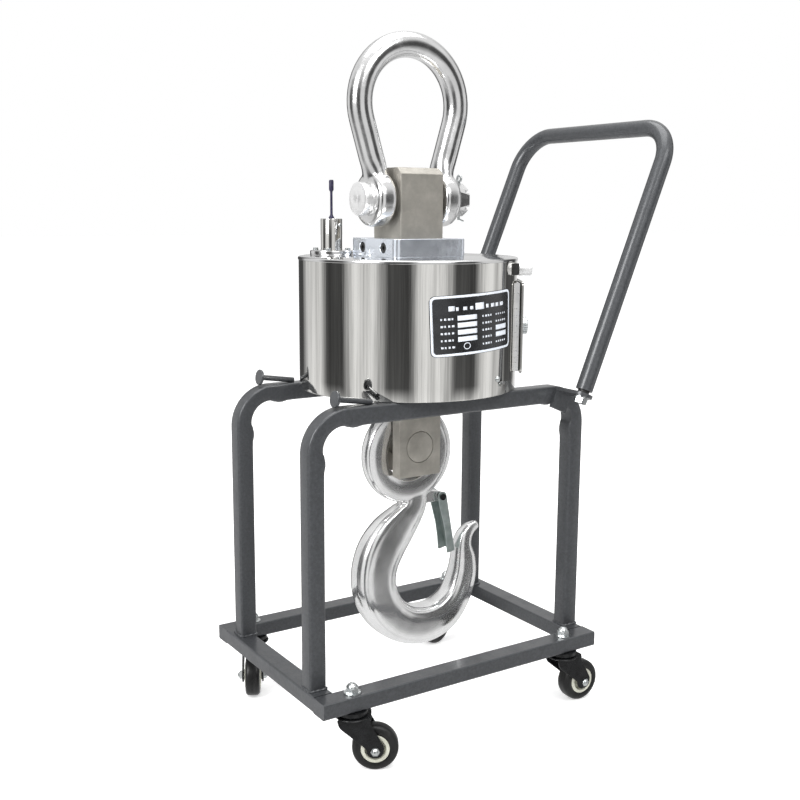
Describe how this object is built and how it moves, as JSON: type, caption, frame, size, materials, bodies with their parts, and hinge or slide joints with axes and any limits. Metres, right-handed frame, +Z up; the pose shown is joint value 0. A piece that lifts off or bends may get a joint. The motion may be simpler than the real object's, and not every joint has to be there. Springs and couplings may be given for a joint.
{
  "type": "crane scale on transport trolley",
  "caption": "Crane scale with a polished round housing, bow shackle and sprung-latch hook, standing in a tubular trolley with swivel casters and a slanted push handle.",
  "frame": {"origin": "on the floor, under the centre of the trolley's rectangular base", "axes": "+X along the base towards the push handle, the rating plate faces -Y, +Z up through the load axis of the scale"},
  "size_m": [0.6101, 0.3769, 0.9919],
  "materials": {
    "frame_paint": "satin dark grey hammered paint",
    "mirror_steel": "mirror-polished stainless steel",
    "brushed_steel": "fine ground stainless steel",
    "nickel": "matte nickel-plated alloy steel",
    "polished_forging": "polished, bright-plated forging",
    "zinc": "bright zinc plate",
    "black_steel": "gloss black coating",
    "hub_cream": "moulded, slightly glossy",
    "tread_black": "smooth dark rubber",
    "plate_black": "glossy black with a white printed border",
    "aerial_black": "matte black",
    "black_plastic": "matte moulded",
    "seal_rubber": "matte",
    "board": "green laminate"
  },
  "bodies": {
    "trolley": {"base_front_rail": "frame_paint", "base_rear_rail": "frame_paint", "base_left_rail": "frame_paint", "base_right_rail": "frame_paint", "rail_end_caps": "frame_paint", "side_frame_front": "frame_paint", "side_frame_rear": "frame_paint", "stop_studs": "frame_paint", "handle_brackets": "frame_paint", "push_handle": "frame_paint", "handle_end_plugs": "black_plastic", "handle_bolts": "zinc", "caster_stems": "black_steel", "stem_nuts": "zinc", "stem_washers": "zinc"},
    "scale": {"housing_shell": "mirror_steel", "housing_lid": "mirror_steel", "housing_floor": "mirror_steel", "housing_screw": "zinc", "door_frame": "mirror_steel", "top_plate": "brushed_steel", "plate_screws": "black_steel", "load_cell": "nickel", "hook_pin": "nickel", "nameplate": "plate_black", "door_seal": "seal_rubber", "battery_pack": "black_plastic", "circuit_board": "board", "antenna_flange": "mirror_steel", "antenna_housing": "mirror_steel", "antenna_rod": "aerial_black", "antenna_screws": "zinc", "charging_socket": "black_plastic"},
    "battery_cover": {"battery_door": "brushed_steel"},
    "cover_knob": {"door_knob": "zinc"},
    "charging_cap": {"socket_cap": "brushed_steel"},
    "shackle": {"shackle_bow": "polished_forging", "shackle_bolt": "polished_forging", "shackle_nut": "polished_forging", "shackle_cotter": "zinc"},
    "hook": {"load_hook": "polished_forging", "latch_pin": "zinc", "latch_spring": "zinc"},
    "latch": {"hook_latch": "zinc"},
    "caster_front_left": {"caster_fork_front_left": "black_steel", "caster_axle_front_left": "zinc"},
    "wheel_front_left": {"caster_hub_front_left": "hub_cream", "caster_tread_front_left": "tread_black"},
    "caster_front_right": {"caster_fork_front_right": "black_steel", "caster_axle_front_right": "zinc"},
    "wheel_front_right": {"caster_hub_front_right": "hub_cream", "caster_tread_front_right": "tread_black"},
    "caster_rear_left": {"caster_fork_rear_left": "black_steel", "caster_axle_rear_left": "zinc"},
    "wheel_rear_left": {"caster_hub_rear_left": "hub_cream", "caster_tread_rear_left": "tread_black"},
    "caster_rear_right": {"caster_fork_rear_right": "black_steel", "caster_axle_rear_right": "zinc"},
    "wheel_rear_right": {"caster_hub_rear_right": "hub_cream", "caster_tread_rear_right": "tread_black"}
  },
  "joints": [
    {"name": "scale_lift", "type": "slide", "parent": "trolley", "child": "scale", "axis": [0, 0, 1], "range_m": [0, 0.45]},
    {"name": "shackle_swing", "type": "hinge", "parent": "scale", "child": "shackle", "pos_m": [0, 0, 0.759], "axis": [1, 0, 0], "range_deg": [-50, 90]},
    {"name": "hook_swing", "type": "hinge", "parent": "scale", "child": "hook", "pos_m": [0, 0, 0.4], "axis": [0, 1, 0], "range_deg": [-35, 35]},
    {"name": "latch_open", "type": "hinge", "parent": "hook", "child": "latch", "pos_m": [0.058, 0, 0.311], "axis": [0, 1, 0], "range_deg": [0, 40], "stiffness_Nm_per_rad": 0.3, "springref_deg": -45.84},
    {"name": "cover_pull", "type": "slide", "parent": "scale", "child": "battery_cover", "axis": [0.8387, -0.5446, 0], "range_m": [0, 0.06]},
    {"name": "knob_turn", "type": "hinge", "parent": "battery_cover", "child": "cover_knob", "pos_m": [0.14257, -0.09259, 0.578], "axis": [0.8387, -0.5446, 0], "continuous": true},
    {"name": "cap_turn", "type": "hinge", "parent": "scale", "child": "charging_cap", "pos_m": [0.11387, -0.12761, 0.662], "axis": [0.8387, -0.5446, 0], "continuous": true},
    {"name": "swivel_front_left", "type": "hinge", "parent": "trolley", "child": "caster_front_left", "pos_m": [-0.186, -0.153, 0.078], "axis": [0, 0, 1], "continuous": true},
    {"name": "spin_front_left", "type": "hinge", "parent": "caster_front_left", "child": "wheel_front_left", "pos_m": [-0.15971, -0.16943, 0.0315], "axis": [0.5299, 0.848, 0], "continuous": true},
    {"name": "swivel_front_right", "type": "hinge", "parent": "trolley", "child": "caster_front_right", "pos_m": [0.186, -0.153, 0.078], "axis": [0, 0, 1], "continuous": true},
    {"name": "spin_front_right", "type": "hinge", "parent": "caster_front_right", "child": "wheel_front_right", "pos_m": [0.21698, -0.15408, 0.0315], "axis": [0.0349, 0.9994, 0], "continuous": true},
    {"name": "swivel_rear_left", "type": "hinge", "parent": "trolley", "child": "caster_rear_left", "pos_m": [-0.186, 0.153, 0.078], "axis": [0, 0, 1], "continuous": true},
    {"name": "spin_rear_left", "type": "hinge", "parent": "caster_rear_left", "child": "wheel_rear_left", "pos_m": [-0.20055, 0.12563, 0.0315], "axis": [0.8829, -0.4695, 0], "continuous": true},
    {"name": "swivel_rear_right", "type": "hinge", "parent": "trolley", "child": "caster_rear_right", "pos_m": [0.186, 0.153, 0.078], "axis": [0, 0, 1], "continuous": true},
    {"name": "spin_rear_right", "type": "hinge", "parent": "caster_rear_right", "child": "wheel_rear_right", "pos_m": [0.15592, 0.1455, 0.0315], "axis": [0.2419, -0.9703, 0], "continuous": true}
  ]
}
